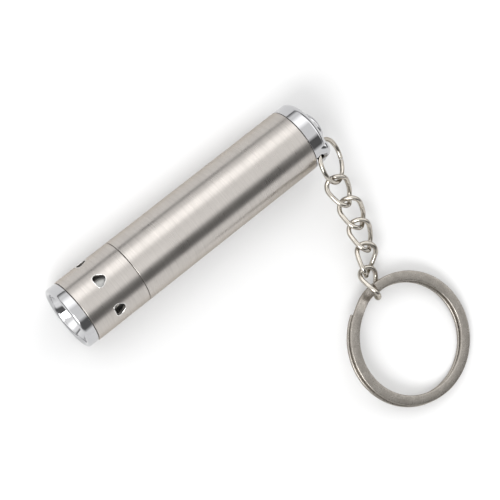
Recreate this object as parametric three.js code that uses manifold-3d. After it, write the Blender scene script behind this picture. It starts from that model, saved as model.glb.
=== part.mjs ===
// Keychain flashlight: a slim steel tube with a bright bezel, six cut-outs near
// the front, a push button in the tail cap, a short curb chain and a split ring.
// Millimetres. The light lies on its side on z = 0 with the tube along X: the
// light end is at -X, the button at +X, the chain and ring at -Y.
import * as THREE from "three";
import { mergeVertices } from "three/addons/utils/BufferGeometryUtils.js";
import Module from "manifold-3d";

const wasm = await Module();
wasm.setup();

// ---- driving dimensions -------------------------------------------------
const FACETS = 32; // sides of every turned piece; one side faces down
const R_TUBE = 7.3; // outer radius of the steel tube
const AXIS_Z = R_TUBE * Math.cos(Math.PI / FACETS); // a flat side rests on z = 0

const X_FRONT = -33.5; // bezel lip
const X_HEAD = -31.0; // seam between bezel and head sleeve
const X_NECK = -17.7; // seam between head sleeve and body tube
const X_TAIL = 27.6; // seam between body tube and tail cap
const X_BUTTON = 33.5; // end of the push button

const R_HEAD_BORE = 6.5; // inside the head sleeve
const R_BODY_BORE = 6.2; // inside the body tube
const R_BEZEL = 7.2;
const R_BEZEL_BORE = 5.85;

const CUT_COUNT = 6;
const CUT_X = -24.7; // station of the cut-outs
const CUT_R = 1.28; // mean radius of one cut-out
const CUT_LOBE = 0.17; // how far its three corners stand out
const CUT_FIRST_DEG = 38.3; // from straight up, towards the chain side

const CELL_R = 5.25; // AAA cell, 10.5 mm across
const CELL_LENGTH = 44.5; // with its tip
const CELL_TIP_X = -21.2;

const BUTTON_R = 3.27;
const BUTTON_HOLE_R = 3.35;
const FLANGE_R = 3.8; // keeps the button in the cap

const JUMP_R = 4.68; // centre line of the jump ring
const JUMP_WIRE = 0.475; // wire radius
const EYE_R = 0.85; // radius of the eyelet's tunnel
const EYE_DEG = 39; // eyelet's height above level, on the chain side
const EYE_X = 29.75;
const EYE_RAD = 5.75; // tunnel's middle, from the tube axis

const LINK_WIRE = 0.52; // wire radius of a chain link
const LINK_L = 7.0; // centre line length of a link
const LINK_W = 4.8; // centre line width of a link
const LINK_TWIST = THREE.MathUtils.degToRad(-80);

const KEY_R = 13.4; // centre line radius of the split ring
const KEY_W = 2.2; // radial width of its flat wire
const KEY_T = 0.87; // thickness of one turn
const KEY_STEP = 0.93; // from one turn to the next
const KEY_RAMP = THREE.MathUtils.degToRad(28); // where the wire climbs a turn

// ---- helpers --------------------------------------------------------------
const V = (x, y, z) => new THREE.Vector3(x, y, z);

function toSolid(geometry) {
  let g = geometry.clone();
  for (const name of ["normal", "uv"]) g.deleteAttribute(name);
  g = mergeVertices(g, 1e-5);
  const p = g.attributes.position;
  const keep = [];
  let volume = 0;
  const a = V(0, 0, 0), b = V(0, 0, 0), c = V(0, 0, 0);
  const index = g.index.array;
  for (let i = 0; i < index.length; i += 3) {
    const [i0, i1, i2] = [index[i], index[i + 1], index[i + 2]];
    if (i0 === i1 || i1 === i2 || i2 === i0) continue;
    keep.push(i0, i1, i2);
    a.fromBufferAttribute(p, i0);
    b.fromBufferAttribute(p, i1);
    c.fromBufferAttribute(p, i2);
    volume += a.dot(b.cross(c)) / 6;
  }
  if (volume < 0) for (let i = 0; i < keep.length; i += 3) [keep[i], keep[i + 1]] = [keep[i + 1], keep[i]];
  return new wasm.Manifold(
    new wasm.Mesh({ numProp: 3, vertProperties: new Float32Array(p.array), triVerts: new Uint32Array(keep) })
  );
}

function toGeometry(solid) {
  const m = solid.getMesh();
  const g = new THREE.BufferGeometry();
  g.setAttribute("position", new THREE.BufferAttribute(new Float32Array(m.vertProperties), 3));
  g.setIndex(Array.from(m.triVerts));
  g.computeVertexNormals();
  return g;
}

// A turned piece from [x, radius] points; it closes on itself or on the axis.
function turned(profile, facets = FACETS) {
  const points = profile.map(([x, r]) => new THREE.Vector2(r, x));
  const first = profile[0], last = profile[profile.length - 1];
  if (!(first[1] === 0 && last[1] === 0)) points.push(points[0].clone());
  const g = new THREE.LatheGeometry(points, facets);
  g.rotateZ(-Math.PI / 2);
  g.rotateX(Math.PI / facets);
  g.translate(0, 0, AXIS_Z);
  return toSolid(g);
}

// A wire of any section swept along a curve.
function swept(curve, section, steps) {
  return toSolid(new THREE.ExtrudeGeometry(section, { steps, bevelEnabled: false, extrudePath: curve }));
}

function roundSection(radius, sides = 8) {
  const s = new THREE.Shape();
  for (let k = 0; k < sides; k++) {
    const t = (2 * Math.PI * (k + 0.5)) / sides;
    if (k) s.lineTo(radius * Math.cos(t), radius * Math.sin(t));
    else s.moveTo(radius * Math.cos(t), radius * Math.sin(t));
  }
  s.closePath();
  return s;
}

class ArcCurve extends THREE.Curve {
  constructor(centre, u, v, radius, start, sweep, level = () => 0) {
    super();
    this.arcLengthDivisions = 600;
    this.centre = centre;
    this.u = u;
    this.v = v;
    this.n = u.clone().cross(v);
    this.radius = radius;
    this.start = start;
    this.sweep = sweep;
    this.level = level;
  }
  getPoint(t, target = V(0, 0, 0)) {
    const a = this.start + this.sweep * t;
    return target
      .copy(this.centre)
      .addScaledVector(this.u, this.radius * Math.cos(a))
      .addScaledVector(this.v, this.radius * Math.sin(a))
      .addScaledVector(this.n, this.level(t));
  }
  // The section keeps its flat faces square to the ring's own axis.
  computeFrenetFrames(segments) {
    const tangents = [], normals = [], binormals = [];
    for (let k = 0; k <= segments; k++) {
      const t = this.getTangentAt(k / segments);
      const across = t.clone().cross(this.n).normalize();
      tangents.push(t);
      normals.push(across);
      binormals.push(across.clone().cross(t).negate());
    }
    return { tangents, normals, binormals };
  }
}

class LinkCurve extends THREE.Curve {
  constructor(centre, azimuth, climb, roll) {
    super();
    this.arcLengthDivisions = 400;
    this.centre = centre;
    this.d = V(Math.cos(climb) * Math.cos(azimuth), Math.cos(climb) * Math.sin(azimuth), Math.sin(climb));
    this.l = V(0, 0, 1).cross(this.d).normalize();
    this.w = this.d.clone().cross(this.l);
    this.roll = roll;
  }
  getPoint(t, target = V(0, 0, 0)) {
    const r = LINK_W / 2, s = LINK_L / 2 - r;
    const round = 4 * s + 2 * Math.PI * r;
    const gap = 0.04; // the butt joint in the middle of one side
    let q = s + gap / 2 + t * (round - gap);
    if (q >= round) q -= round;
    let u, v;
    if (q < 2 * s) [u, v] = [-s + q, r];
    else if (q < 2 * s + Math.PI * r) {
      const a = (q - 2 * s) / r;
      [u, v] = [s + r * Math.sin(a), r * Math.cos(a)];
    } else if (q < 4 * s + Math.PI * r) [u, v] = [s - (q - 2 * s - Math.PI * r), -r];
    else {
      const a = (q - 4 * s - Math.PI * r) / r;
      [u, v] = [-s - r * Math.sin(a), -r * Math.cos(a)];
    }
    const turn = this.roll + (LINK_TWIST * u) / LINK_L;
    return target
      .copy(this.centre)
      .addScaledVector(this.d, u)
      .addScaledVector(this.l, v * Math.cos(turn))
      .addScaledVector(this.w, v * Math.sin(turn));
  }
}

class CoilCurve extends THREE.Curve {
  constructor(x0, x1, radius, turns) {
    super();
    Object.assign(this, { x0, x1, radius, turns });
    this.arcLengthDivisions = 400;
  }
  getPoint(t, target = V(0, 0, 0)) {
    const a = 2 * Math.PI * this.turns * t;
    return target.set(
      this.x0 + (this.x1 - this.x0) * t,
      this.radius * Math.cos(a),
      AXIS_Z + this.radius * Math.sin(a)
    );
  }
}

const group = new THREE.Group();
function add(name, solid, colour, roughness, metalness) {
  const mesh = new THREE.Mesh(
    toGeometry(solid),
    new THREE.MeshStandardMaterial({ color: colour, roughness, metalness, flatShading: true })
  );
  mesh.name = name;
  group.add(mesh);
}
const STEEL = [0xb9b0a4, 0.38, 1];
const CHROME = [0xd9dadb, 0.08, 1];
const NICKEL = [0xbdb6ab, 0.22, 1];

// ---- head ------------------------------------------------------------------
// Bezel: a lip with a round nose in front, and a skirt inside the head sleeve.
add("front_bezel", turned([
  [X_FRONT, 6.3], [X_FRONT + 0.06, 6.75], [X_FRONT + 0.3, 7.08], [X_FRONT + 0.7, R_BEZEL],
  [X_HEAD - 0.15, R_BEZEL], [X_HEAD - 0.05, 7.1], [X_HEAD - 0.05, 6.44], [X_HEAD + 2.8, 6.44],
  [X_HEAD + 2.8, R_BEZEL_BORE], [X_FRONT + 0.5, R_BEZEL_BORE], [X_FRONT + 0.12, 6.0],
]), ...CHROME);

// Reflector: a thin parabolic cup that opens to the front and to the lamp.
const bowl = [-27.6, -28.4, -29.4, -30.6, -31.8, -33.0].map((x) => [x, Math.sqrt(8.41 + 4.044 * (-27.6 - x))]);
add("reflector", turned([
  ...bowl, [-33.0, 5.78], [-32.5, 5.78], ...bowl.slice(1, 5).reverse().map(([x, r]) => [x, r + 0.38]), [-27.6, 3.5],
]), 0xe6e7e8, 0.05, 1);

// Head sleeve with its six three-cornered cut-outs, one corner to the tail.
let sleeve = turned([
  [X_HEAD + 0.1, 7.18], [X_HEAD + 0.22, R_TUBE], [X_NECK - 0.2, R_TUBE], [X_NECK - 0.07, 7.18],
  [X_NECK - 0.07, R_HEAD_BORE], [X_HEAD + 0.1, R_HEAD_BORE],
]);
const outline = new THREE.Shape();
for (let k = 0; k < 24; k++) {
  const a = (2 * Math.PI * k) / 24;
  let r = CUT_R + CUT_LOBE * Math.cos(3 * a);
  if (Math.abs(a - Math.PI) < 0.2) r -= 0.06;
  const x = r * Math.cos(a), y = r * Math.sin(a);
  if (k) outline.lineTo(x, y);
  else outline.moveTo(x, y);
}
outline.closePath();
for (let k = 0; k < CUT_COUNT; k++) {
  const g = new THREE.ExtrudeGeometry(outline, { depth: 3, steps: 1, bevelEnabled: false });
  g.translate(CUT_X, 0, 5.4);
  g.rotateX(THREE.MathUtils.degToRad(CUT_FIRST_DEG + (360 / CUT_COUNT) * k));
  g.translate(0, 0, AXIS_Z);
  sleeve = sleeve.subtract(toSolid(g));
}
add("head_sleeve", sleeve, ...STEEL);

// Lamp barrel: carries the lamp and its board, and shows through the cut-outs.
add("lamp_barrel", turned([
  [-27.5, 3.1], [-27.5, 5.5], [-27.3, 5.7], [-22.9, 5.7], [-22.9, 6.42], [-21.4, 6.42],
  [-21.4, 5.35], [-23.1, 5.35], [-23.1, 3.1],
]), 0xc4c6c6, 0.45, 0.8);
const dome = [];
for (let k = 0; k <= 5; k++) {
  const a = (Math.PI / 2) * (k / 5);
  dome.push([-27.0 - 2.5 * Math.cos(a), k ? 2.5 * Math.sin(a) : 0]);
}
add("led", turned([...dome, [-24.2, 2.5], [-24.2, 2.85], [-23.2, 2.85], [-23.2, 0]], 24), 0xf2efe2, 0.1, 0);
add("led_board", turned([[-23.1, 0], [-23.1, 5.2], [-22.1, 5.2], [-22.1, 0]]), 0x2f6b3c, 0.5, 0);
add("front_contact", turned([[-22.05, 0], [-22.05, 2.6], [-21.7, 2.6], [-21.7, 1.5], [-21.3, 1.3], [-21.3, 0]], 20), 0xc9a24a, 0.3, 1);

// ---- neck ------------------------------------------------------------------
add("neck_ring", turned([
  [-21.2, 5.55], [-21.2, 6.3], [-21.05, 6.43], [-20.65, 6.43], [-20.65, 5.93], [-19.55, 5.93], [-19.55, 6.43],
  [X_NECK - 0.05, 6.43], [X_NECK - 0.05, 6.15], [-13.5, 6.15], [-13.5, 5.55],
]), 0xa8a49c, 0.35, 1);
const seal = [];
for (let k = 0; k < 8; k++) {
  const a = (2 * Math.PI * k) / 8;
  seal.push([-20.1 + 0.21 * Math.sin(a), 6.2 + 0.21 * Math.cos(a)]);
}
add("o_ring", turned(seal), 0x1d1d1f, 0.7, 0);

// ---- body ------------------------------------------------------------------
add("body_tube", turned([
  [X_NECK + 0.07, 7.18], [X_NECK + 0.2, R_TUBE], [X_TAIL - 0.14, R_TUBE], [X_TAIL - 0.05, 7.22],
  [X_TAIL - 0.05, R_BODY_BORE], [X_NECK + 0.07, R_BODY_BORE],
]), ...STEEL);
add("battery_sleeve", turned([[-13.3, 5.45], [-13.3, 6.1], [23.0, 6.1], [23.0, 5.45]]), 0xdadada, 0.6, 0);
const CAN_X = CELL_TIP_X + 0.85, CELL_END = CELL_TIP_X + CELL_LENGTH;
add("cell_can", turned([
  [CAN_X, 0], [CAN_X, 4.9], [CAN_X + 0.35, CELL_R], [CELL_END - 0.3, CELL_R], [CELL_END, 4.95], [CELL_END, 0],
]), 0x3c5f86, 0.35, 0.3);
add("cell_tip", turned([[CELL_TIP_X, 0], [CELL_TIP_X, 1.7], [CELL_TIP_X + 0.2, 1.9], [CELL_TIP_X + 0.8, 1.9], [CELL_TIP_X + 0.8, 0]], 20), 0xcfc9bd, 0.25, 1);

// ---- tail ------------------------------------------------------------------
add("contact_spring", swept(new CoilCurve(23.62, 24.7, 3.0, 1.9), roundSection(0.22, 6), 30), 0xc9a24a, 0.3, 1);
add("tail_contact", turned([[24.98, 0], [24.98, 4.0], [25.25, 4.0], [25.25, 0]], 20), 0xc9a24a, 0.3, 1);
add("switch_housing", turned([[25.3, 0], [25.3, 5.4], [27.4, 5.4], [27.4, 1.35], [25.55, 1.35], [25.55, 0]]), 0x26282b, 0.55, 0);
add("switch_plunger", turned([[26.7, 0], [26.7, 1.25], [28.55, 1.25], [28.55, 0]], 20), 0xd8d8d2, 0.4, 0);

const shoulder = [];
for (let k = 0; k <= 6; k++) {
  const a = (Math.PI / 2) * (k / 6);
  shoulder.push([30.0 + 1.6 * Math.sin(a), 5.0 + 2.3 * Math.cos(a)]);
}
let cap = turned([
  [24.2, 5.5], [24.2, 6.15], [X_TAIL + 0.05, 6.15], [X_TAIL + 0.05, 7.2], [X_TAIL + 0.16, R_TUBE],
  ...shoulder, [31.62, 3.7], [31.5, BUTTON_HOLE_R + 0.1], [31.3, BUTTON_HOLE_R],
  [29.6, BUTTON_HOLE_R], [29.6, 4.0], [27.6, 4.0], [27.6, 5.5],
]);
// Eyelet: a swelling on the cap's corner with a curved tunnel under it.
const eye = THREE.MathUtils.degToRad(EYE_DEG);
const out = V(0, -Math.cos(eye), Math.sin(eye));
const knob = new THREE.SphereGeometry(1.5, 20, 12);
knob.scale(1, 1.25, 1);
knob.rotateX(Math.PI / 2 - eye + Math.PI / 2);
knob.rotateX(Math.PI / 2);
knob.translate(30.3, out.y * 6.0, AXIS_Z + out.z * 6.0);
cap = cap.add(toSolid(knob));

// Jump ring: hangs down and outwards from the tunnel.
const jumpU = V(-0.0842, -0.9513, -0.2966).normalize();
const jumpV = V(-0.7828, -0.121, 0.6104);
jumpV.addScaledVector(jumpU, -jumpV.dot(jumpU)).normalize();
const eyeAt = THREE.MathUtils.degToRad(150); // where on the ring the tunnel is
const jumpC = V(EYE_X, out.y * EYE_RAD, AXIS_Z + out.z * EYE_RAD)
  .addScaledVector(jumpU, -JUMP_R * Math.cos(eyeAt))
  .addScaledVector(jumpV, -JUMP_R * Math.sin(eyeAt));
const cutAt = THREE.MathUtils.degToRad(-65); // the ring's butt joint
const tunnel = new ArcCurve(jumpC, jumpU, jumpV, JUMP_R, eyeAt - 1.15, 2.3);
cap = cap.subtract(swept(tunnel, roundSection(EYE_R, 14), 26));
add("tail_cap", cap, ...CHROME);

add("push_button", turned([
  [28.6, 0], [28.6, FLANGE_R], [29.4, FLANGE_R], [29.4, BUTTON_R], [X_BUTTON - 0.62, BUTTON_R],
  [X_BUTTON - 0.36, 3.19], [X_BUTTON - 0.16, 2.95], [X_BUTTON - 0.07, 2.6], [X_BUTTON, 1.6], [X_BUTTON, 0],
]), ...CHROME);

add("jump_ring", swept(new ArcCurve(jumpC, jumpU, jumpV, JUMP_R, cutAt + 0.012, 2 * Math.PI - 0.024), roundSection(JUMP_WIRE), 40), ...NICKEL);

// ---- chain -----------------------------------------------------------------
// Each link: centre, heading, climb and roll. The twist gives the curb its lie.
const LINKS = {
  link_a: [V(29.641, -14.495, 6.501), -1.497, -0.296, -0.103],
  link_b: [V(29.45, -20.017, 5.085), -1.623, -0.151, -0.042],
  link_c: [V(28.273, -25.065, 4.347), -1.751, -0.114, -0.245],
  link_d: [V(25.998, -29.761, 3.83), -2.208, -0.126, -0.531],
  link_e: [V(23.847, -34.405, 3.71), -1.82, 0.083, -0.813],
};
for (const [name, place] of Object.entries(LINKS)) {
  add(name, swept(new LinkCurve(...place), roundSection(LINK_WIRE), 32), ...NICKEL);
}

// ---- split ring --------------------------------------------------------------
// Two turns of flat wire. It leans on the last link, its far side on z = 0.
const keyN = V(0.0947, -0.0767, 0.9925).normalize();
const keyU = V(0, 1, 0);
keyU.addScaledVector(keyN, -keyU.dot(keyN)).normalize();
const keyV = keyN.clone().cross(keyU);
const keyC = V(23.437, -49.174, 2.67);
const KEY_END = THREE.MathUtils.degToRad(3); // where the top turn ends, inside the last link
const keySweep = 4 * Math.PI - KEY_RAMP - THREE.MathUtils.degToRad(3);
const climb = (t) => {
  const past = KEY_RAMP + t * keySweep - 2 * Math.PI; // angle beyond the first turn
  const s = THREE.MathUtils.clamp((past + THREE.MathUtils.degToRad(0)) / KEY_RAMP, 0, 1);
  return KEY_STEP * (s * s * (3 - 2 * s) - 0.5);
};
const c = 0.13;
const flat = new THREE.Shape();
flat.moveTo(-KEY_W / 2 + c, -KEY_T / 2);
flat.lineTo(KEY_W / 2 - c, -KEY_T / 2);
flat.lineTo(KEY_W / 2, -KEY_T / 2 + c);
flat.lineTo(KEY_W / 2, KEY_T / 2 - c);
flat.lineTo(KEY_W / 2 - c, KEY_T / 2);
flat.lineTo(-KEY_W / 2 + c, KEY_T / 2);
flat.lineTo(-KEY_W / 2, KEY_T / 2 - c);
flat.lineTo(-KEY_W / 2, -KEY_T / 2 + c);
flat.closePath();
add("split_ring", swept(new ArcCurve(keyC, keyU, keyV, KEY_R, KEY_END + KEY_RAMP, keySweep, climb), flat, 96), 0xa9a297, 0.35, 1);

export default group;
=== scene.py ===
import math

import bmesh
import bpy
import numpy as np
from mathutils import Matrix, Vector


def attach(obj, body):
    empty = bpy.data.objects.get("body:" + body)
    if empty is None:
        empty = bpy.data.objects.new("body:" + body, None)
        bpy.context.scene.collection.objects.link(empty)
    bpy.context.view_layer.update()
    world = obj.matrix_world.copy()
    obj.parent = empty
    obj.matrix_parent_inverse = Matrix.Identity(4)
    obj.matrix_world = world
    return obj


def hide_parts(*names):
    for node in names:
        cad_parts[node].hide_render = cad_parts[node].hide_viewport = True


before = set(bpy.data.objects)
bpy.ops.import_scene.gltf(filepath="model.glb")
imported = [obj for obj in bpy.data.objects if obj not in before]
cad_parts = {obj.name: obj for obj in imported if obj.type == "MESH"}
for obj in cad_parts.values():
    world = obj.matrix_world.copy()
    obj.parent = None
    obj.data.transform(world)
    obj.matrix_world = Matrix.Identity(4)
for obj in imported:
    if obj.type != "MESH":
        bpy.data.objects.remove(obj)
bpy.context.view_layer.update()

MM = 0.001

# ---- the CAD's own dimensions, in millimetres -----------------------------
R = 7.28            # finished radius of the tube, inside the CAD's 7.3 mm corners
AXIS_Z = 7.3 * math.cos(math.pi / 32)
X_FRONT, X_HEAD, X_NECK, X_TAIL, X_BUTTON = -33.5, -31.0, -17.7, 27.6, 33.5
CUT_X, CUT_R, CUT_LOBE, CUT_FIRST = -24.7, 1.31, 0.135, math.radians(38.3)
JUMP_R, JUMP_WIRE, EYE_R = 4.68, 0.472, 0.92
EYE = math.radians(39)
LINK_WIRE, LINK_L, LINK_W, LINK_TWIST = 0.517, 7.0, 4.8, math.radians(-80)
KEY_R, KEY_W, KEY_T, KEY_STEP, KEY_RAMP = 13.4, 2.2, 0.87, 0.93, math.radians(28)
KEY_END = math.radians(3)


# ---- mesh helpers -----------------------------------------------------------
def make(name, verts, faces, material, body, stands_for=(), sharp=32):
    me = bpy.data.meshes.new(name)
    me.from_pydata([tuple(float(c) * MM for c in v) for v in verts], [], [tuple(f) for f in faces])
    bm = bmesh.new()
    bm.from_mesh(me)
    bmesh.ops.remove_doubles(bm, verts=bm.verts, dist=1e-8)
    bmesh.ops.recalc_face_normals(bm, faces=bm.faces)
    bm.to_mesh(me)
    bm.free()
    me.update()
    ob = bpy.data.objects.new(name, me)
    bpy.context.scene.collection.objects.link(ob)
    finish_piece(ob, material, body, stands_for, sharp)
    return ob


def finish_piece(ob, material, body, stands_for=(), sharp=32):
    me = ob.data
    me.polygons.foreach_set("use_smooth", [True] * len(me.polygons))
    me.set_sharp_from_angle(angle=math.radians(sharp))
    if material is not None:
        me.materials.clear()
        me.materials.append(material)
    if body:
        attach(ob, body)
        if stands_for:
            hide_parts(*stands_for)


def rounded(points, closed=True, steps=5):
    """Corner rounding: each point is (x, r) or (x, r, fillet)."""
    out = []
    n = len(points)
    for i, p in enumerate(points):
        f = p[2] if len(p) > 2 else 0
        if f <= 0 or (not closed and i in (0, n - 1)):
            out.append((p[0], p[1]))
            continue
        a, b, c = (np.array(points[(i + k) % n][:2], float) for k in (-1, 0, 1))
        u, v = (a - b) / np.linalg.norm(a - b), (c - b) / np.linalg.norm(c - b)
        ang = math.acos(max(-1, min(1, float(u @ v))))
        cut = min(f / math.tan(ang / 2), 0.48 * np.linalg.norm(a - b), 0.48 * np.linalg.norm(c - b))
        f = cut * math.tan(ang / 2)
        mid = (u + v) / np.linalg.norm(u + v)
        centre = b + mid * (f / math.sin(ang / 2))
        s, e = b + u * cut - centre, b + v * cut - centre
        a0, a1 = math.atan2(s[1], s[0]), math.atan2(e[1], e[0])
        d = (a1 - a0 + math.pi) % (2 * math.pi) - math.pi
        for k in range(steps + 1):
            t = a0 + d * k / steps
            out.append((centre[0] + f * math.cos(t), centre[1] + f * math.sin(t)))
    return out


def lathe_data(profile, seg=256, closed=True, shape=None):
    verts, rows = [], []
    ang = [2 * math.pi * k / seg for k in range(seg)]
    for j, (x, r) in enumerate(profile):
        if r < 1e-9:
            rows.append([len(verts)])
            verts.append((x, 0.0, AXIS_Z))
            continue
        row = []
        for a in ang:
            px, pr = (x, r) if shape is None else shape(x, r, a, j)
            row.append(len(verts))
            # angle 0 is level on the chain side, a quarter turn is straight up
            verts.append((px, -pr * math.cos(a), AXIS_Z + pr * math.sin(a)))
        rows.append(row)
    faces = []
    count = len(rows) if closed else len(rows) - 1
    for j in range(count):
        p, q = rows[j], rows[(j + 1) % len(rows)]
        if len(p) == 1 and len(q) == 1:
            continue
        for k in range(seg):
            m = (k + 1) % seg
            if len(p) == 1:
                faces.append((p[0], q[m], q[k]))
            elif len(q) == 1:
                faces.append((p[k], p[m], q[0]))
            else:
                faces.append((p[k], p[m], q[m], q[k]))
    return verts, faces


def lathe(name, profile, material, body, stands_for=(), seg=256, closed=True, sharp=32, shape=None):
    v, f = lathe_data(profile, seg, closed, shape)
    return make(name, v, f, material, body, stands_for, sharp)


def transport(points):
    """Tangents and a frame that turns as little as it can along a path."""
    p = np.asarray(points, float)
    t = np.gradient(p, axis=0)
    t /= np.linalg.norm(t, axis=1)[:, None]
    n = np.cross(t[0], [0.31, 0.22, 0.93])
    n /= np.linalg.norm(n)
    ns = [n]
    for k in range(1, len(p)):
        n = ns[-1] - t[k] * (ns[-1] @ t[k])
        ns.append(n / np.linalg.norm(n))
    ns = np.array(ns)
    return p, t, ns, np.cross(t, ns)


def sweep_data(points, section, frames=None, ends=0.0, closed=False):
    """section is a (K, 2) outline; ends rounds the two cut ends by that much."""
    if frames is None:
        p, t, n, b = transport(points)
    else:
        p, t, n, b = frames
    sec = np.asarray(section, float)
    half = np.abs(sec).max()
    length = np.concatenate([[0], np.cumsum(np.linalg.norm(np.diff(p, axis=0), axis=1))])
    rings = []
    if ends > 0 and not closed:
        q = [(0.0, 0.0)] * 0
        for s in (0, 1):
            i = 0 if s == 0 else -1
            sign = 1 if s == 0 else -1
            for k in range(4):
                a = (math.pi / 2) * (k + 0.5) / 4
                q.append((s, p[i] + sign * t[i] * ends * (1 - math.sin(a)), 1 - ends / half * (1 - math.cos(a)), i))
        head = [(c, sc, i) for s, c, sc, i in q if s == 0]
        tail = [(c, sc, i) for s, c, sc, i in q if s == 1]
        body = [(p[k], 1.0, k) for k in range(len(p)) if ends < length[k] < length[-1] - ends]
        head.sort(key=lambda h: h[1])
        tail.sort(key=lambda h: -h[1])
        rings = head + body + tail
    else:
        rings = [(p[k], 1.0, k) for k in range(len(p))]
    verts, faces = [], []
    m = len(sec)
    for c, sc, i in rings:
        for x, y in sec * sc:
            verts.append(c + n[i] * x + b[i] * y)
    total = len(rings)
    for j in range(total if closed else total - 1):
        for k in range(m):
            a, c = j * m + k, j * m + (k + 1) % m
            d, e = ((j + 1) % total) * m + k, ((j + 1) % total) * m + (k + 1) % m
            faces.append((a, c, e, d))
    if not closed:
        faces.append(tuple(reversed(range(m))))
        faces.append(tuple(range((total - 1) * m, total * m)))
    return verts, faces


def circle(radius, sides=28):
    return [(radius * math.cos(2 * math.pi * k / sides), radius * math.sin(2 * math.pi * k / sides)) for k in range(sides)]


def rounded_box(w, h, r, steps=4, crown=0.0):
    """Outline of flat wire: rounded corners, and faces that bulge by crown."""
    out = []
    for cx, cy, a0 in ((w / 2 - r, h / 2 - r, 0), (-w / 2 + r, h / 2 - r, 90), (-w / 2 + r, -h / 2 + r, 180), (w / 2 - r, -h / 2 + r, 270)):
        for k in range(steps + 1):
            a = math.radians(a0 + 90 * k / steps)
            out.append((cx + r * math.cos(a), cy + r * math.sin(a)))
        if crown and a0 in (0, 180):
            for k in range(1, 8):
                q = 1 - 2 * k / 8
                out.append(((w / 2 - r) * q * (1 if a0 == 0 else -1), (h / 2 + crown * (1 - q * q)) * (1 if a0 == 0 else -1)))
    return out


# ---- materials --------------------------------------------------------------
class Nodes:
    def __init__(self, name):
        self.mat = bpy.data.materials.new(name)
        self.mat.use_nodes = True
        self.t = self.mat.node_tree
        self.bsdf = self.t.nodes["Principled BSDF"]
        self.coord = self.t.nodes.new("ShaderNodeTexCoord").outputs["Object"]

    def link(self, a, b):
        self.t.links.new(a, b)

    def math(self, op, a, b=None, c=None, clamp=False):
        n = self.t.nodes.new("ShaderNodeMath")
        n.operation = op
        n.use_clamp = clamp
        for i, v in enumerate((a, b, c)):
            if v is None:
                continue
            if isinstance(v, (int, float)):
                n.inputs[i].default_value = v
            else:
                self.link(v, n.inputs[i])
        return n.outputs[0]

    def scaled(self, sx, sy, sz, loc=(0, 0, 0), rot=(0, 0, 0), vector=None):
        n = self.t.nodes.new("ShaderNodeMapping")
        n.inputs["Location"].default_value = loc
        n.inputs["Rotation"].default_value = rot
        n.inputs["Scale"].default_value = (sx, sy, sz)
        self.link(vector or self.coord, n.inputs["Vector"])
        return n.outputs[0]

    def noise(self, vector, scale=1.0, detail=3.0, rough=0.55, distortion=0.0):
        n = self.t.nodes.new("ShaderNodeTexNoise")
        n.inputs["Scale"].default_value = scale
        n.inputs["Detail"].default_value = detail
        n.inputs["Roughness"].default_value = rough
        n.inputs["Distortion"].default_value = distortion
        self.link(vector, n.inputs["Vector"])
        return n.outputs["Fac"]

    def ranged(self, v, a0, a1, b0, b1):
        n = self.t.nodes.new("ShaderNodeMapRange")
        for k, x in zip(("From Min", "From Max", "To Min", "To Max"), (a0, a1, b0, b1)):
            n.inputs[k].default_value = x
        self.link(v, n.inputs["Value"])
        return n.outputs["Result"]

    def mix(self, fac, a, b):
        n = self.t.nodes.new("ShaderNodeMix")
        n.data_type = "RGBA"
        for socket, v in (("Factor", fac), ("A", a), ("B", b)):
            s = next(i for i in n.inputs if i.name == socket and (i.type == "RGBA" or socket == "Factor" and i.type == "VALUE"))
            if isinstance(v, (tuple, list)):
                s.default_value = (*v[:3], 1)
            elif isinstance(v, (int, float)):
                s.default_value = v
            else:
                self.link(v, s)
        return next(o for o in n.outputs if o.type == "RGBA")

    def bump(self, height, strength, distance, normal=None):
        n = self.t.nodes.new("ShaderNodeBump")
        n.inputs["Strength"].default_value = strength
        n.inputs["Distance"].default_value = distance
        self.link(height, n.inputs["Height"])
        if normal is not None:
            self.link(normal, n.inputs["Normal"])
        return n.outputs["Normal"]

    def set(self, **kw):
        for k, v in kw.items():
            s = self.bsdf.inputs[k.replace("_", " ")]
            if isinstance(v, (int, float)):
                s.default_value = v
            elif isinstance(v, (tuple, list)):
                s.default_value = (*v, 1) if s.type == "RGBA" and len(v) == 3 else v
            else:
                self.link(v, s)
        return self


def around_axis(m, per_mm, turns):
    """Coordinates whose noise runs in rings round the tube's axis."""
    sep = m.t.nodes.new("ShaderNodeSeparateXYZ")
    m.link(m.coord, sep.inputs[0])
    z = m.math("SUBTRACT", sep.outputs["Z"], AXIS_Z * MM)
    r = m.math("SQRT", m.math("ADD", m.math("MULTIPLY", sep.outputs["Y"], sep.outputs["Y"]), m.math("MULTIPLY", z, z)))
    r = m.math("MAXIMUM", r, 1e-5)
    c = m.t.nodes.new("ShaderNodeCombineXYZ")
    m.link(m.math("MULTIPLY", sep.outputs["X"], per_mm * 1000), c.inputs[0])
    m.link(m.math("MULTIPLY", m.math("DIVIDE", sep.outputs["Y"], r), turns), c.inputs[1])
    m.link(m.math("MULTIPLY", m.math("DIVIDE", z, r), turns), c.inputs[2])
    return c.outputs[0]


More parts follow.
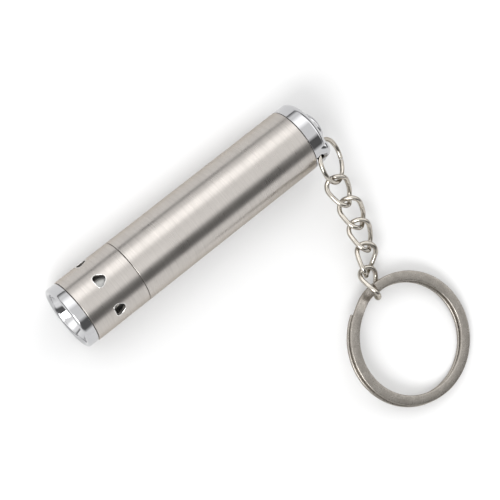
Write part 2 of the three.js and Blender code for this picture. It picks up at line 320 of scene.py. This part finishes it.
def steel(name="brushed_steel_tube", colour=(0.50, 0.472, 0.445)):
    m = Nodes(name)
    fine = m.noise(around_axis(m, 11.0, 1.6), 1.0, 3.0, 0.65)
    mid = m.noise(around_axis(m, 3.1, 1.1), 1.0, 3.0, 0.6)
    grit = m.noise(around_axis(m, 7.0, 22.0), 1.0, 2.0, 0.6)
    broad = m.noise(m.scaled(160, 160, 160), 1.0, 3.0, 0.5)
    grain = m.math("ADD", m.math("MULTIPLY", fine, 0.6), m.math("MULTIPLY", mid, 0.4))
    dark = tuple(c * 0.87 for c in colour)
    light = tuple(min(1, c * 1.11) for c in colour)
    col = m.mix(m.ranged(grain, 0.3, 0.7, 0, 1), dark, light)
    col = m.mix(m.ranged(grit, 0.62, 0.80, 0, 0.35), col, tuple(c * 0.72 for c in colour))
    rough = m.math("ADD", m.ranged(grain, 0.3, 0.7, 0.33, 0.25), m.ranged(broad, 0.3, 0.7, -0.03, 0.04))
    m.set(Base_Color=col, Metallic=1.0, Roughness=rough, Normal=m.bump(grain, 0.22, 0.00002))
    m.set(Anisotropic=0.72, Anisotropic_Rotation=0.25, Specular_Tint=(0.74, 0.70, 0.65))
    tan = m.t.nodes.new("ShaderNodeTangent")
    tan.direction_type = "RADIAL"
    tan.axis = "X"
    m.link(tan.outputs[0], m.bsdf.inputs["Tangent"])
    return m.mat


def chrome(name, colour=(0.53, 0.53, 0.54), rough=0.035, smudge=0.05, bump=0.03):
    m = Nodes(name)
    haze = m.noise(m.scaled(260, 260, 260), 1.0, 4.0, 0.55)
    fine = m.noise(m.scaled(5200, 5200, 5200), 1.0, 2.0, 0.5)
    col = m.mix(m.ranged(haze, 0.35, 0.7, 0, 1), tuple(c * 0.95 for c in colour), colour)
    r = m.math("ADD", m.ranged(haze, 0.4, 0.75, rough, rough + smudge), m.ranged(fine, 0.3, 0.7, 0.0, 0.012))
    m.set(Base_Color=col, Metallic=1.0, Roughness=r, Normal=m.bump(m.noise(m.scaled(420, 420, 420), 1.0, 2.0, 0.4), bump, 0.0003))
    return m.mat


def nickel(name="nickel_wire", colour=(0.56, 0.525, 0.47)):
    m = Nodes(name)
    wear = m.noise(m.scaled(900, 900, 900), 1.0, 4.0, 0.6)
    pits = m.noise(m.scaled(6500, 6500, 6500), 1.0, 2.0, 0.5)
    draw = m.noise(m.scaled(2400, 2400, 2400, rot=(0.4, 0.7, 0.2)), 1.0, 3.0, 0.6, 0.6)
    col = m.mix(m.ranged(wear, 0.35, 0.7, 0, 1), tuple(c * 0.82 for c in colour), tuple(min(1, c * 1.08) for c in colour))
    r = m.math("ADD", m.ranged(wear, 0.3, 0.7, 0.09, 0.19), m.ranged(pits, 0.3, 0.7, -0.02, 0.04))
    m.set(Base_Color=col, Metallic=1.0, Roughness=r, Normal=m.bump(draw, 0.14, 0.00003))
    m.set(Specular_Tint=(0.44, 0.40, 0.35))
    return m.mat


def plain(name, dark, light, rough=(0.4, 0.55), metal=0.0, scale=700, bump=0.1, coat=0.0):
    m = Nodes(name)
    a = m.noise(m.scaled(scale, scale, scale), 1.0, 4.0, 0.55)
    b = m.noise(m.scaled(scale * 7, scale * 7, scale * 7), 1.0, 2.0, 0.5)
    m.set(Base_Color=m.mix(m.ranged(a, 0.35, 0.65, 0, 1), dark, light), Metallic=metal,
          Roughness=m.ranged(a, 0.3, 0.7, rough[0], rough[1]), Normal=m.bump(b, bump, 0.00003))
    m.set(Coat_Weight=coat)
    return m.mat


MAT_STEEL = steel()
MAT_CHROME = chrome("polished_chrome")
MAT_MIRROR = chrome("reflector_mirror", (0.62, 0.62, 0.63), 0.02, 0.03, 0.02)
MAT_NICKEL = nickel()
MAT_FROST = plain("satin_silver", (0.34, 0.345, 0.34), (0.46, 0.46, 0.45), (0.34, 0.46), 1.0, 900, 0.2)
MAT_BRASS = plain("stamped_brass", (0.55, 0.38, 0.15), (0.74, 0.55, 0.26), (0.2, 0.34), 1.0, 900, 0.12)
MAT_RUBBER = plain("seal_rubber", (0.012, 0.012, 0.013), (0.03, 0.03, 0.031), (0.55, 0.75), 0.0, 900, 0.3)
MAT_LINER = plain("liner_plastic", (0.66, 0.66, 0.62), (0.78, 0.78, 0.74), (0.4, 0.55), 0.0, 500, 0.12)
MAT_SWITCH = plain("switch_plastic", (0.014, 0.014, 0.016), (0.032, 0.032, 0.036), (0.38, 0.55), 0.0, 900, 0.2)
MAT_WRAP = plain("cell_wrap", (0.03, 0.09, 0.22), (0.05, 0.13, 0.30), (0.18, 0.3), 0.0, 400, 0.06, 0.5)
MAT_BOARD = plain("circuit_board", (0.01, 0.11, 0.04), (0.03, 0.18, 0.07), (0.3, 0.42), 0.0, 1500, 0.12, 0.3)


def ring_steel():
    """Flat wire of the split ring: tumbled, with scratches along its length."""
    m = Nodes("split_ring_steel")
    c = Vector((23.437, -49.174, 2.67)) * MM
    sub = m.t.nodes.new("ShaderNodeVectorMath")
    sub.operation = "SUBTRACT"
    m.link(m.coord, sub.inputs[0])
    sub.inputs[1].default_value = c
    sep = m.t.nodes.new("ShaderNodeSeparateXYZ")
    m.link(sub.outputs[0], sep.inputs[0])
    r = m.math("SQRT", m.math("ADD", m.math("MULTIPLY", sep.outputs[0], sep.outputs[0]), m.math("MULTIPLY", sep.outputs[1], sep.outputs[1])))
    comb = m.t.nodes.new("ShaderNodeCombineXYZ")
    m.link(m.math("MULTIPLY", r, 5200), comb.inputs[0])
    m.link(m.math("MULTIPLY", m.math("DIVIDE", sep.outputs[0], r), 11), comb.inputs[1])
    m.link(m.math("MULTIPLY", m.math("DIVIDE", sep.outputs[1], r), 11), comb.inputs[2])
    lines = m.noise(comb.outputs[0], 1.0, 4.0, 0.65, 0.3)
    wear = m.noise(m.scaled(700, 700, 700), 1.0, 5.0, 0.62)
    nicks = m.noise(m.scaled(3200, 3200, 3200), 1.0, 3.0, 0.6)
    mixv = m.math("ADD", m.math("MULTIPLY", lines, 0.5), m.math("MULTIPLY", wear, 0.5))
    speck = m.noise(m.scaled(5200, 5200, 5200), 1.0, 4.0, 0.7)
    col = m.mix(m.ranged(mixv, 0.30, 0.70, 0, 1), (0.27, 0.248, 0.222), (0.48, 0.45, 0.41))
    col = m.mix(m.ranged(speck, 0.50, 0.68, 0, 0.55), col, (0.17, 0.15, 0.13))
    rough = m.math("ADD", m.ranged(mixv, 0.35, 0.65, 0.34, 0.20), m.ranged(nicks, 0.35, 0.7, 0.0, 0.10))
    n = m.bump(lines, 0.30, 0.00003)
    n = m.bump(speck, 0.30, 0.00004, n)
    m.set(Base_Color=col, Metallic=1.0, Roughness=rough, Normal=m.bump(nicks, 0.25, 0.00006, n))
    m.set(Specular_Tint=(0.6, 0.56, 0.5))
    return m.mat


MAT_KEY = ring_steel()

# ---- head ------------------------------------------------------------------
bezel = rounded([
    (X_FRONT, 6.42, 0.28), (X_FRONT, 6.98, 0.0), (X_FRONT + 0.10, 7.14, 0.0), (X_FRONT + 0.42, 7.19, 0.3),
    (X_HEAD - 0.05, 7.19, 0.16), (X_HEAD - 0.05, 6.46), (X_HEAD + 2.8, 6.46), (X_HEAD + 2.8, 5.88),
    (X_FRONT + 0.55, 5.88, 0.3),
])
nose = []
for k in range(13):  # a full round nose between the bore and the outside
    a = math.pi / 2 + math.pi * k / 12
    nose.append((X_FRONT + 0.62 + 0.62 * math.cos(a), 6.535 + 0.655 * math.sin(a)))
bezel = nose[::-1] + rounded([(X_HEAD - 1.0, 7.19), (X_HEAD - 0.05, 7.19, 0.14), (X_HEAD - 0.05, 6.46), (X_HEAD + 2.8, 6.46), (X_HEAD + 2.8, 5.88), (X_HEAD - 0.9, 5.88)], closed=False)
bezel = [(x, r) for x, r in bezel]
lathe("bezel_chrome", bezel, MAT_CHROME, "head", ("front_bezel",), 320)

bowl = []
for k in range(41):
    x = -33.0 + 5.4 * k / 40
    bowl.append((x, math.sqrt(8.41 + 4.044 * (-27.6 - x))))
lathe("reflector_cup", bowl + [(-27.6, 3.4)] + [(x, r + 0.34) for x, r in bowl[::-1][4:]] + [(-33.0, 5.82)], MAT_MIRROR, "head", ("reflector",), 256)

sleeve_profile = rounded([
    (X_HEAD + 0.06, R, 0.12), (X_NECK - 0.045, R, 0.13), (X_NECK - 0.045, 6.52), (X_HEAD + 0.06, 6.52),
])
# extra loops where the cut-outs are, so their edges stay true
dense = []
for i, (x, r) in enumerate(sleeve_profile):
    dense.append((x, r))
    nx, nr = sleeve_profile[(i + 1) % len(sleeve_profile)]
    if abs(nx - x) > 5:
        cnt = 60
        dense += [(x + (nx - x) * k / cnt, r + (nr - r) * k / cnt) for k in range(1, cnt)]
sv, sf = lathe_data(dense, 384)


def cut_outline(n=96, grow=0.0):
    pts = []
    for k in range(n):
        a = 2 * math.pi * k / n
        r = CUT_R + grow + CUT_LOBE * math.cos(3 * a)
        # a shallow dent in the side that faces the bezel
        d = (a - math.pi) / 0.42
        r -= 0.07 * math.exp(-d * d)
        pts.append((r * math.cos(a), 1.10 * r * math.sin(a)))
    return pts


def tool_object(name, verts, faces):
    me = bpy.data.meshes.new(name)
    me.from_pydata([tuple(float(c) * MM for c in v) for v in verts], [], [tuple(f) for f in faces])
    bm = bmesh.new()
    bm.from_mesh(me)
    bmesh.ops.recalc_face_normals(bm, faces=bm.faces)
    bm.to_mesh(me)
    bm.free()
    ob = bpy.data.objects.new(name, me)
    bpy.context.scene.collection.objects.link(ob)
    return ob


def carve(ob, cutters, operation="DIFFERENCE"):
    for c in cutters:
        mod = ob.modifiers.new("cut", "BOOLEAN")
        mod.operation = operation
        mod.solver = "EXACT"
        mod.object = c
    bpy.context.view_layer.update()
    dg = bpy.context.evaluated_depsgraph_get()
    me = bpy.data.meshes.new_from_object(ob.evaluated_get(dg))
    ob.modifiers.clear()
    old = ob.data
    ob.data = me
    bpy.data.meshes.remove(old)
    for c in cutters:
        m = c.data
        bpy.data.objects.remove(c)
        bpy.data.meshes.remove(m)


sleeve = tool_object("head_sleeve_steel", sv, sf)
cutters = []
CUT_ANGLES = [CUT_FIRST + math.radians(60) * k for k in range(6)]
for i, ang in enumerate(CUT_ANGLES):
    # ang is measured from straight up towards the chain side
    up = np.array([0, -math.sin(ang), math.cos(ang)])
    side = np.array([0, -math.cos(ang), -math.sin(ang)])
    pts = cut_outline()
    verts, faces = [], []
    n = len(pts)
    for h in (5.6, 8.2):
        for x, s in pts:
            verts.append(np.array([CUT_X + x, 0, AXIS_Z]) + side * s + up * h)
    for k in range(n):
        faces.append((k, (k + 1) % n, n + (k + 1) % n, n + k))
    faces += [tuple(reversed(range(n))), tuple(range(n, 2 * n))]
    cutters.append(tool_object(f"cut_{i}", verts, faces))
carve(sleeve, cutters)
finish_piece(sleeve, MAT_STEEL, "head", ("head_sleeve",), 30)

# polished edge round each cut-out: a slim bead let into the corner
MAT_EDGE = chrome("polished_edge", (0.80, 0.79, 0.77), 0.08, 0.05, 0.02)
for i, ang in enumerate(CUT_ANGLES):
    up = np.array([0, -math.sin(ang), math.cos(ang)])
    side = np.array([0, -math.cos(ang), -math.sin(ang)])
    path = []
    for x, s in cut_outline(120):
        h = math.sqrt((R - 0.075) ** 2 - s * s)
        path.append(np.array([CUT_X + x, 0, AXIS_Z]) + side * s + up * h)
    path = np.array(path)
    t = np.roll(path, -1, 0) - np.roll(path, 1, 0)
    t /= np.linalg.norm(t, axis=1)[:, None]
    n = np.tile(up, (len(path), 1))
    n = n - t * (n * t).sum(1)[:, None]
    n /= np.linalg.norm(n, axis=1)[:, None]
    v, f = sweep_data(path, circle(0.10, 14), (path, t, n, np.cross(t, n)), closed=True)
    make(f"cut_edge_{i + 1}", v, f, MAT_EDGE, "head")

# ---- lamp module -------------------------------------------------------------
barrel = [(-27.5, 3.1), (-27.5, 5.55)]
barrel += [(-27.38, 5.7)]
x = -27.2
while x < -23.2:  # turned rings on the barrel, seen through the cut-outs
    barrel += [(x, 5.7), (x + 0.10, 5.66), (x + 0.18, 5.70)]
    x += 0.36
barrel += [(-22.9, 5.7), (-22.9, 6.42), (-21.4, 6.42), (-21.4, 5.35), (-23.1, 5.35), (-23.1, 3.1)]
lathe("lamp_barrel_satin", barrel, MAT_FROST, "lamp_module", ("lamp_barrel",), 192, sharp=50)


def led_resin():
    m = Nodes("led_resin")
    haze = m.noise(m.scaled(800, 800, 800), 1.0, 3.0, 0.5)
    m.set(Base_Color=m.mix(m.ranged(haze, 0.3, 0.7, 0, 1), (0.95, 0.94, 0.90), (1.0, 0.99, 0.96)),
          Roughness=m.ranged(haze, 0.3, 0.7, 0.02, 0.06), Transmission_Weight=0.92, IOR=1.48)
    return m.mat


MAT_RESIN = led_resin()
MAT_PHOSPHOR = plain("led_phosphor", (0.75, 0.40, 0.03), (0.90, 0.56, 0.08), (0.45, 0.6), 0.0, 2500, 0.3)
domep = []
for k in range(17):
    a = (math.pi / 2) * k / 16
    domep.append((-27.0 - 2.5 * math.cos(a), 2.5 * math.sin(a)))
domep[0] = (-29.5, 0.0)
lathe("led_dome", domep + rounded([(-24.6, 2.5), (-24.2, 2.5, 0.08), (-24.2, 2.85, 0.1), (-23.2, 2.85, 0.1), (-23.2, 0.0)], closed=False), MAT_RESIN, "lamp_module", ("led",), 96, closed=False)
lathe("led_cup", [(-27.15, 1.15), (-27.2, 1.3), (-27.05, 1.38), (-26.2, 1.1), (-25.2, 0.9), (-25.2, 0.0), (-26.35, 0.0), (-26.35, 0.8)][:6] + [(-26.45, 0.0)][:0] + [(-26.4, 0.0), (-26.4, 0.75)], MAT_MIRROR, "lamp_module", (), 64)
lathe("led_phosphor_dot", [(-26.75, 0.0), (-26.72, 0.5), (-26.6, 0.86), (-26.42, 0.72), (-26.42, 0.0)], MAT_PHOSPHOR, "lamp_module", (), 64, closed=False)

# ---- body --------------------------------------------------------------------
tube_profile = rounded([
    (X_NECK + 0.045, R, 0.13), (X_TAIL - 0.05, R, 0.12), (X_TAIL - 0.05, 6.22), (X_NECK + 0.045, 6.22),
])
lathe("body_tube_steel", tube_profile, MAT_STEEL, "tube", ("body_tube",), 384)

# ---- tail cap ------------------------------------------------------------------
outer = [(X_TAIL + 0.05, 7.10), (X_TAIL + 0.07, 7.20), (X_TAIL + 0.14, R)]
outer += [(X_TAIL + 0.14 + (30.0 - X_TAIL - 0.14) * k / 16, R) for k in range(1, 16)]
for k in range(29):
    a = (math.pi / 2) * k / 28
    outer.append((30.0 + 1.62 * math.sin(a) ** 1.0, 5.0 + (R - 5.0) * math.cos(a)))
outer += [(31.63, 4.5), (31.63, 4.0), (31.60, 3.7), (31.52, 3.5), (31.38, 3.38), (31.2, 3.36)]
inner = [(29.6, 3.36), (29.6, 4.0), (27.62, 4.0), (27.62, 5.5), (24.2, 5.5), (24.2, 6.16), (X_TAIL + 0.05, 6.16)]
cap_profile = outer + inner
arc = [0.0]
for p, q in zip(cap_profile, cap_profile[1:]):
    arc.append(arc[-1] + math.hypot(q[0] - p[0], q[1] - p[1]))
peak = min(range(len(outer)), key=lambda i: math.hypot(outer[i][0] - 31.13, outer[i][1] - 6.62))


def swell(x, r, a, j):
    """The eyelet: a rounded bar standing on the cap's corner."""
    if j >= len(outer) or j < 4:
        return x, r
    d = (a - EYE + math.pi) % (2 * math.pi) - math.pi
    across = abs(d) * 6.4
    along = abs(arc[j] - arc[peak])
    f = max(0.0, 1 - (across / 1.75) ** 2)
    g = max(0.0, 1 - (along / 2.1) ** 2)
    if f <= 0 or g <= 0:
        return x, r
    h = 0.62 * math.sqrt(f) * (f ** 0.25) * (g ** 0.9)
    return x + h * 0.62, r + h * 0.74


cv, cf = lathe_data(cap_profile, 512, True, swell)
cap = tool_object("tail_cap_chrome", cv, cf)
U = Vector((-0.0842, -0.9513, -0.2966)).normalized()
W = Vector((-0.7828, -0.121, 0.6104))
W = (W - U * W.dot(U)).normalized()
tun = Vector((29.75, -math.cos(EYE) * 5.75, AXIS_Z + math.sin(EYE) * 5.75))
e0 = math.radians(150)
JC = tun - U * JUMP_R * math.cos(e0) - W * JUMP_R * math.sin(e0)


def on_jump(a):
    return np.array(JC + U * JUMP_R * math.cos(a) + W * JUMP_R * math.sin(a))


path = np.array([on_jump(e0 - 1.15 + 2.3 * k / 60) for k in range(61)])
v, f = sweep_data(path, circle(EYE_R, 40))
carve(cap, [tool_object("tunnel", v, f)])
finish_piece(cap, MAT_CHROME, "tube", ("tail_cap",), 30)

button = [(28.6, 0.0), (28.6, 3.8), (29.4, 3.8), (29.4, 3.26), (X_BUTTON - 0.9, 3.26)]
for k in range(1, 13):
    a = (math.pi / 2) * k / 12
    button.append((X_BUTTON - 0.9 + 0.72 * math.sin(a), 2.46 + 0.80 * math.cos(a)))
for k in range(1, 9):
    r = 2.46 * (1 - k / 8)
    button.append((X_BUTTON - 0.18 + 0.17 * (1 - (r / 2.46) ** 2), r))
lathe("button_chrome", button, MAT_CHROME, "button", ("push_button",), 192, closed=False)

# ---- jump ring, chain ----------------------------------------------------------
c0 = math.radians(-65)
path = np.array([on_jump(c0 + 0.010 + (2 * math.pi - 0.020) * k / 220) for k in range(221)])
v, f = sweep_data(path, circle(JUMP_WIRE, 28), ends=0.07)
make("jump_ring_wire", v, f, MAT_NICKEL, "jump_ring", ("jump_ring",))

LINKS = {
    "link_a": ((29.641, -14.495, 6.501), -1.497, -0.296, -0.103),
    "link_b": ((29.45, -20.017, 5.085), -1.623, -0.151, -0.042),
    "link_c": ((28.273, -25.065, 4.347), -1.751, -0.114, -0.245),
    "link_d": ((25.998, -29.761, 3.83), -2.208, -0.126, -0.531),
    "link_e": ((23.847, -34.405, 3.71), -1.82, 0.083, -0.813),
}


def link_path(centre, azimuth, climb, roll, steps=240, gap=0.04):
    d = np.array([math.cos(climb) * math.cos(azimuth), math.cos(climb) * math.sin(azimuth), math.sin(climb)])
    l = np.cross([0, 0, 1], d)
    l /= np.linalg.norm(l)
    w = np.cross(d, l)
    r = LINK_W / 2
    s = LINK_L / 2 - r
    around = 4 * s + 2 * math.pi * r
    out = []
    for k in range(steps + 1):
        q = s + gap / 2 + (around - gap) * k / steps
        if q >= around:
            q -= around
        if q < 2 * s:
            u, vv = -s + q, r
        elif q < 2 * s + math.pi * r:
            a = (q - 2 * s) / r
            u, vv = s + r * math.sin(a), r * math.cos(a)
        elif q < 4 * s + math.pi * r:
            u, vv = s - (q - 2 * s - math.pi * r), -r
        else:
            a = (q - 4 * s - math.pi * r) / r
            u, vv = -s - r * math.sin(a), -r * math.cos(a)
        turn = roll + LINK_TWIST * u / LINK_L
        out.append(np.array(centre) + d * u + l * vv * math.cos(turn) + w * vv * math.sin(turn))
    return np.array(out)


for name, place in LINKS.items():
    v, f = sweep_data(link_path(*place), circle(LINK_WIRE, 28), ends=0.05)
    make(name + "_wire", v, f, MAT_NICKEL, name, (name,))

# ---- split ring ------------------------------------------------------------------
KN = Vector((0.0947, -0.0767, 0.9925)).normalized()
KU = Vector((0, 1, 0))
KU = (KU - KN * KU.dot(KN)).normalized()
KV = KN.cross(KU)
KC = Vector((23.437, -49.174, 2.67))
sweep_total = 4 * math.pi - KEY_RAMP - math.radians(3)
path, tangent, nrm, bin_ = [], [], [], []
STEPS = 620
for k in range(STEPS + 1):
    t = k / STEPS
    a = KEY_END + KEY_RAMP + sweep_total * t
    past = KEY_RAMP + t * sweep_total - 2 * math.pi
    s = max(0.0, min(1.0, past / KEY_RAMP))
    level = KEY_STEP * (s * s * (3 - 2 * s) - 0.5)
    # the two turns have sprung a little out of line with each other
    slip = Vector((0.42, 0.10, 0.0)) * (level / KEY_STEP)
    path.append(np.array(KC + slip + KU * KEY_R * math.cos(a) + KV * KEY_R * math.sin(a) + KN * level))
path = np.array(path)
tangent = np.gradient(path, axis=0)
tangent /= np.linalg.norm(tangent, axis=1)[:, None]
nrm = np.cross(tangent, np.array(KN))
nrm /= np.linalg.norm(nrm, axis=1)[:, None]
bin_ = -np.cross(nrm, tangent)
v, f = sweep_data(path, rounded_box(KEY_W, KEY_T - 0.12, 0.27, 6, 0.035), (path, tangent, nrm, bin_), ends=0.08)
make("split_ring_wire", v, f, MAT_KEY, "split_ring", ("split_ring",))

# ---- looks of the inner pieces that stay as the CAD made them ---------------------
for node, mat in {
    "led_board": MAT_BOARD, "front_contact": MAT_BRASS, "neck_ring": MAT_STEEL, "o_ring": MAT_RUBBER,
    "battery_sleeve": MAT_LINER, "cell_can": MAT_WRAP, "cell_tip": MAT_NICKEL, "contact_spring": MAT_BRASS,
    "tail_contact": MAT_BRASS, "switch_housing": MAT_SWITCH, "switch_plunger": MAT_LINER,
}.items():
    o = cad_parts[node]
    o = o if hasattr(o, "data") else bpy.data.objects[node]
    o.data.materials.clear()
    o.data.materials.append(mat)

# ---- floor, light, camera -----------------------------------------------------------
bm = bmesh.new()
bmesh.ops.create_grid(bm, x_segments=1, y_segments=1, size=3.0)
me = bpy.data.meshes.new("floor")
bm.to_mesh(me)
bm.free()
floor = bpy.data.objects.new("floor", me)
floor.location = (0, 0, -0.00003)
bpy.context.scene.collection.objects.link(floor)
fm = Nodes("pale_floor")
fm.set(Base_Color=fm.mix(fm.noise(fm.scaled(3, 3, 3), 1.0, 2.0), (0.77, 0.77, 0.77), (0.79, 0.79, 0.79)), Roughness=0.9)
fm.set(Specular_IOR_Level=0.0)
me.materials.append(fm.mat)

# Camera, solved for the view of the object: x right, y up, z back.
CAM = np.array([
    (0.75186907, -0.59748307, 0.27875953),
    (0.60235088, 0.79440694, 0.07804479),
    (-0.26807888, 0.10923163, 0.95718453),
])
cam_data = bpy.data.cameras.new("camera")
cam_data.lens = 125.957
cam_data.sensor_width = 36
cam_data.clip_start, cam_data.clip_end = 0.01, 20
cam = bpy.data.objects.new("camera", cam_data)
mw = Matrix((
    (CAM[0][0], CAM[1][0], CAM[2][0], -0.0915031),
    (CAM[0][1], CAM[1][1], CAM[2][1], 0.0274216),
    (CAM[0][2], CAM[1][2], CAM[2][2], 0.3542958),
    (0, 0, 0, 1),
))
cam.matrix_world = mw
bpy.context.scene.collection.objects.link(cam)
bpy.context.scene.camera = cam

# Plain studio: a white room with one long strip box overhead and two dark
# cards, all lying parallel to the tube, and all neutral in colour.
ROOM, TOP = 1.1, 2.0
phi = math.radians(6)
E1 = Vector((0, math.sin(phi), math.cos(phi)))      # up, square to the tube
E2 = Vector((0, -math.cos(phi), math.sin(phi)))     # across the tube, to the chain side
world = bpy.data.worlds.new("studio")
bpy.context.scene.world = world
world.use_nodes = True
wt = world.node_tree
bg = wt.nodes["Background"]
tc = wt.nodes.new("ShaderNodeTexCoord")


def dot(vec):
    n = wt.nodes.new("ShaderNodeVectorMath")
    n.operation = "DOT_PRODUCT"
    wt.links.new(tc.outputs["Generated"], n.inputs[0])
    n.inputs[1].default_value = vec
    return n.outputs["Value"]


at = wt.nodes.new("ShaderNodeMath")
at.operation = "ARCTAN2"
wt.links.new(dot(E2), at.inputs[0])
wt.links.new(dot(E1), at.inputs[1])
mr = wt.nodes.new("ShaderNodeMapRange")
mr.inputs["From Min"].default_value = -math.pi
mr.inputs["From Max"].default_value = math.pi
wt.links.new(at.outputs[0], mr.inputs["Value"])
ramp = wt.nodes.new("ShaderNodeValToRGB")
wt.links.new(mr.outputs["Result"], ramp.inputs["Fac"])
# each panel: from and to, in degrees round the tube, its soft edge, brightness
PANELS = ((-100, -80, 10, 0.25), (-46, -28, 14, 2.0), (38, 66, 12, 0.14))
stops = [(-180, ROOM)]
for lo, hi, soft, value in PANELS:
    stops += [(lo - soft, ROOM), (lo, value), (hi, value), (hi + soft, ROOM)]
stops.append((180, ROOM))
for k, (deg, val) in enumerate(stops):
    cr = ramp.color_ramp
    el = cr.elements[0] if k == 0 else cr.elements[-1] if k == len(stops) - 1 else cr.elements.new((deg + 180) / 360)
    el.position = (deg + 180) / 360
    el.color = (val / TOP, val / TOP, val / TOP, 1)
# Past the ends of the tube: dark low down, white overhead.
height = wt.nodes.new("ShaderNodeMapRange")
height.interpolation_type = "SMOOTHSTEP"
height.inputs["From Min"].default_value = 0.25
height.inputs["From Max"].default_value = 0.50
height.inputs["To Min"].default_value = 0.12 / TOP
height.inputs["To Max"].default_value = 2.0 / TOP
wt.links.new(dot((0, 0, 1)), height.inputs["Value"])
past = wt.nodes.new("ShaderNodeMath")
past.operation = "ABSOLUTE"
wt.links.new(dot((1, 0, 0)), past.inputs[0])
reach = wt.nodes.new("ShaderNodeMapRange")
reach.interpolation_type = "SMOOTHSTEP"
reach.inputs["From Min"].default_value = 0.60
reach.inputs["From Max"].default_value = 0.80
wt.links.new(past.outputs[0], reach.inputs["Value"])
whole = wt.nodes.new("ShaderNodeMix")
whole.data_type = "RGBA"
wt.links.new(reach.outputs["Result"], whole.inputs[0])
wt.links.new(ramp.outputs["Color"], whole.inputs[6])
wt.links.new(height.outputs["Result"], whole.inputs[7])
wt.links.new(whole.outputs[2], bg.inputs["Color"])
bg.inputs["Strength"].default_value = TOP


def area(name, loc, target, size, power, colour=(1, 1, 1)):
    l = bpy.data.lights.new(name, "AREA")
    l.shape = "RECTANGLE"
    l.size, l.size_y = size
    l.energy = power
    l.color = colour
    o = bpy.data.objects.new(name, l)
    o.location = loc
    o.rotation_euler = (Vector(target) - Vector(loc)).to_track_quat("-Z", "Y").to_euler()
    bpy.context.scene.collection.objects.link(o)
    return o


area("soft_fill", (-0.85, -0.30, 0.95), (0.0, -0.02, 0.0), (0.7, 0.5), 8.0)
bpy.context.scene.view_settings.view_transform = "Standard"
bpy.context.scene.view_settings.look = "None"
